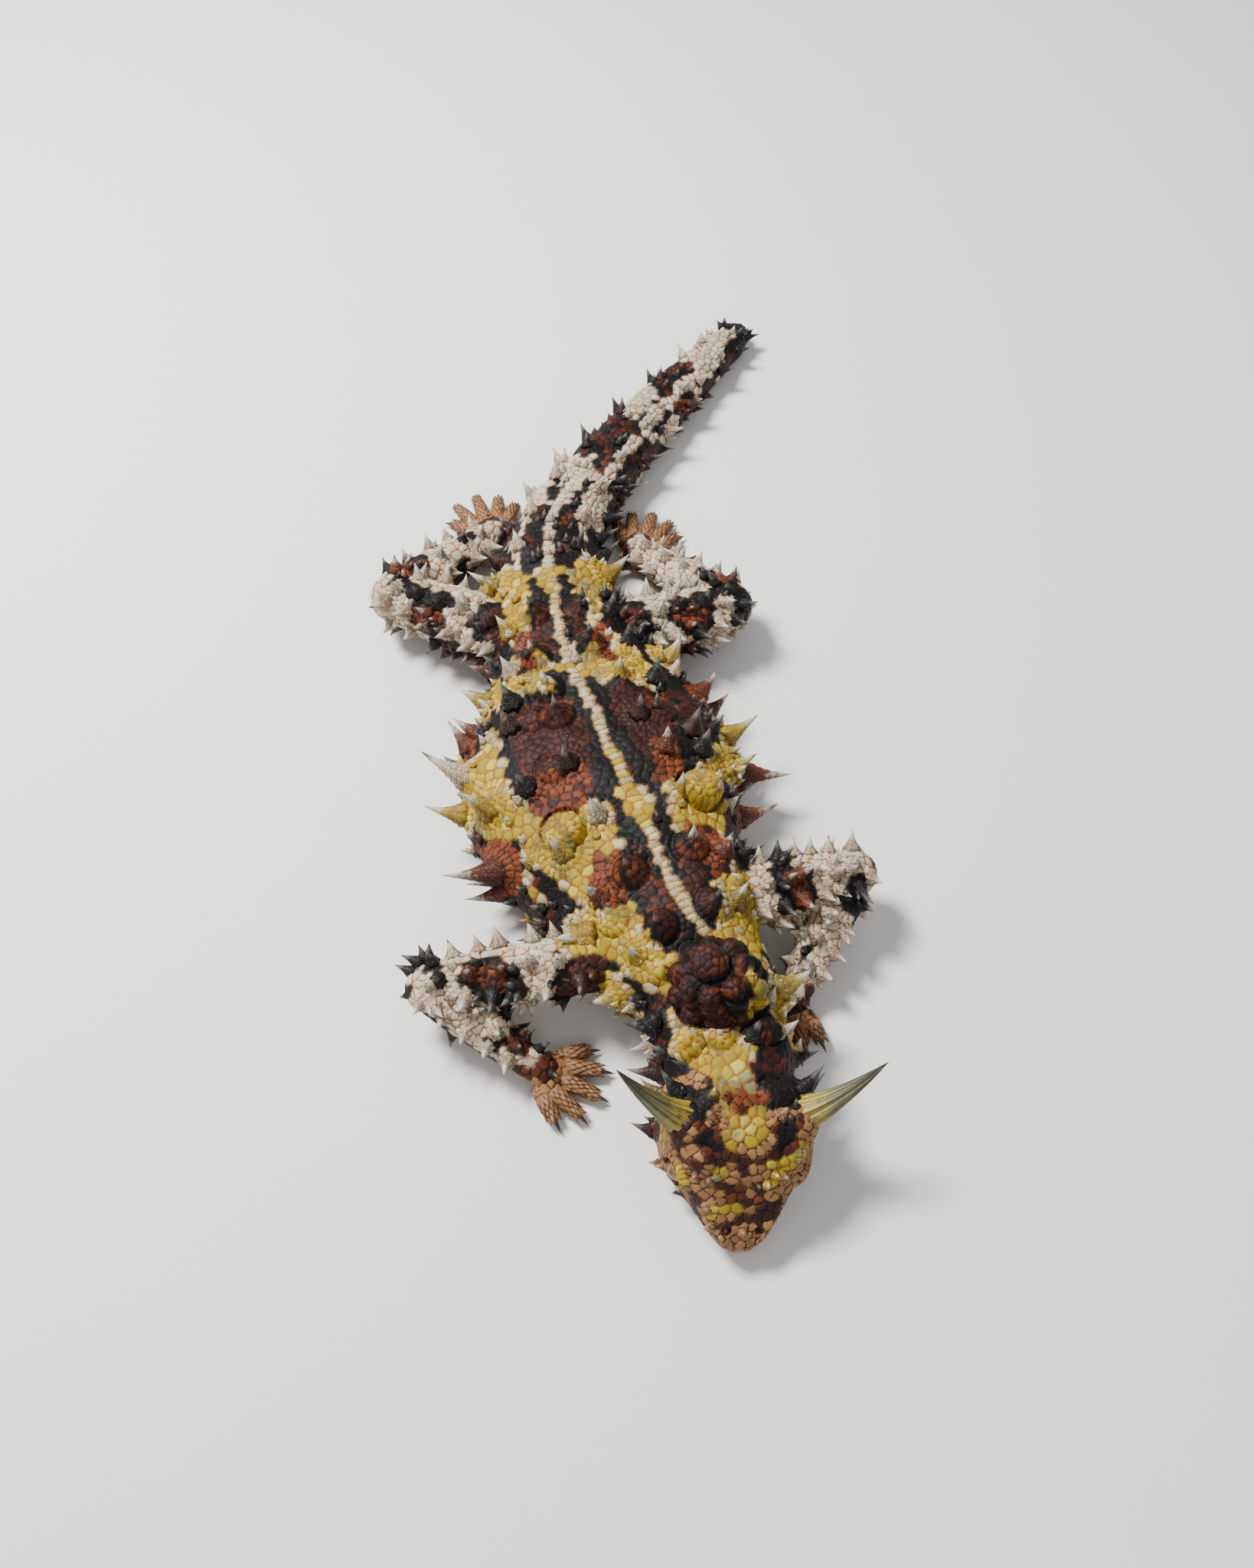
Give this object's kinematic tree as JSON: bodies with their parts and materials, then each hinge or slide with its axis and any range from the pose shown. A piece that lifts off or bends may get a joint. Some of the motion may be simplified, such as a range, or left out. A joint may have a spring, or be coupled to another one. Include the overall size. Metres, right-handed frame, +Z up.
{
  "type": "thorny lizard figure",
  "caption": "Life-size thorny desert lizard lying flat, spiny all over, with a nape knob, brow horns and a low head, for museum display.",
  "frame": {"origin": "on the floor under the middle of the trunk, on the flat of the belly", "axes": "+Z up, +Y towards the tail, -Y towards the snout, +X towards the animal's left"},
  "size_m": [0.0705, 0.1601, 0.0226],
  "materials": {
    "body_skin": "dry scaly skin, yellow with dark red-brown saddles",
    "head_skin": "dry scaly skin with a low gloss, dark brown with yellow and pink patches",
    "knob_skin": "dark brown ringed scales with a low gloss",
    "tail_skin": "dry scaly skin, near black with cream stripes and bands",
    "limb_skin": "dry scaly skin, cream plates with brown grooves and black bars",
    "horn": "horny, ribbed, pale at the foot and dark at the tip",
    "eye": "wet, dark"
  },
  "bodies": {
    "root": {"trunk": "body_skin", "neck": "body_skin", "tail_base": "tail_skin", "tail_middle": "tail_skin", "tail_tip": "tail_skin", "fore_right_upper_arm": "limb_skin", "fore_right_forearm": "limb_skin", "fore_right_hand": "limb_skin", "fore_left_upper_arm": "limb_skin", "fore_left_forearm": "limb_skin", "fore_left_hand": "limb_skin", "hind_right_thigh": "limb_skin", "hind_right_shin": "limb_skin", "hind_right_foot": "limb_skin", "hind_left_thigh": "limb_skin", "hind_left_shin": "limb_skin", "hind_left_foot": "limb_skin", "head": "head_skin", "horn_left": "horn", "eye_left": "eye", "horn_right": "horn", "eye_right": "eye", "nape_knob": "knob_skin"}
  },
  "joints": []
}
